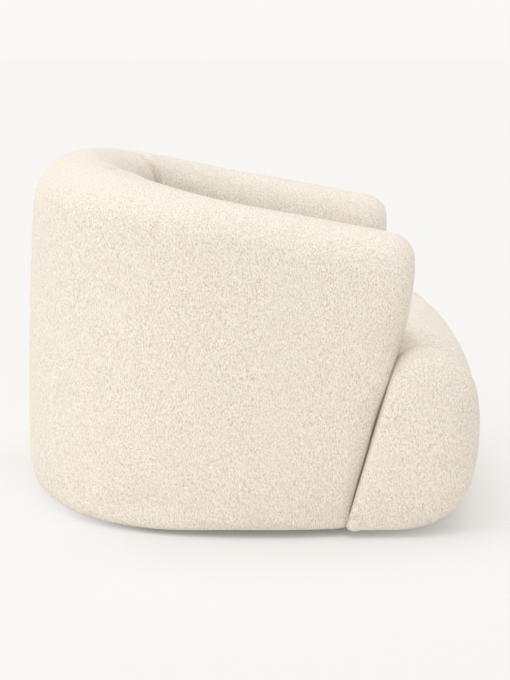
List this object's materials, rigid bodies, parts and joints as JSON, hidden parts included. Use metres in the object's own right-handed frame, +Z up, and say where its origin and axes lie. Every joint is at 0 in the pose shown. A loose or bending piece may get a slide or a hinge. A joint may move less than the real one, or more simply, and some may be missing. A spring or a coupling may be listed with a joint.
{
  "type": "upholstered tub armchair",
  "caption": "Low tub armchair: one padded horseshoe of back and leaning arms wraps a T-shaped padded seat, all in cream looped-pile fabric, on low hidden glides.",
  "frame": {"origin": "middle of the footprint, on the floor under the glides", "axes": "+Z up, the seat faces -Y, width along X"},
  "size_m": [0.8814, 0.9074, 0.6987],
  "materials": {
    "pile_fabric": "cream looped pile, matte",
    "padding": "soft upholstery padding",
    "lining_cloth": "black lining cloth",
    "webbing": "woven elastic webbing",
    "felt": "pressed felt",
    "glide_plastic": "black moulded plastic",
    "steel": "zinc plated",
    "plywood": "unfinished plywood",
    "hardboard": "thin bent board",
    "timber": "planed timber"
  },
  "bodies": {
    "root": {"arm_front_pad_left": "padding", "arm_front_pad_right": "padding", "arm_front_post_left": "timber", "arm_front_post_right": "timber", "arm_post_left": "timber", "arm_post_right": "timber", "back_post_centre": "timber", "back_post_left": "timber", "back_post_right": "timber", "dust_cover": "lining_cloth", "ear_lid_left": "hardboard", "ear_lid_right": "hardboard", "ear_rib_left": "plywood", "ear_rib_right": "plywood", "foot_block_front_left": "timber", "foot_block_front_right": "timber", "foot_block_rear_left": "timber", "foot_block_rear_right": "timber", "glide_front_left": "glide_plastic", "glide_front_right": "glide_plastic", "glide_rear_left": "glide_plastic", "glide_rear_right": "glide_plastic", "glide_screws": "steel", "inside_arm_pad_left": "padding", "inside_arm_pad_right": "padding", "inside_back_pad": "padding", "joining_bolts": "steel", "joining_nuts": "steel", "joining_washers": "steel", "outside_pad": "padding", "outside_panel": "hardboard", "rim_pad": "padding", "seat_base_panel": "plywood", "seat_bent_rear_rail": "plywood", "seat_core_pad": "padding", "seat_corner_blocks": "timber", "seat_cover": "pile_fabric", "seat_cross_straps": "webbing", "seat_felt": "felt", "seat_front_board": "plywood", "seat_front_pad": "padding", "seat_front_rail": "timber", "seat_long_straps": "webbing", "seat_rail_left": "timber", "seat_rail_right": "timber", "tub_base_former": "plywood", "tub_inside_cover": "pile_fabric", "tub_outside_cover": "pile_fabric", "tub_straps": "webbing", "tub_top_former": "plywood"}
  },
  "joints": []
}
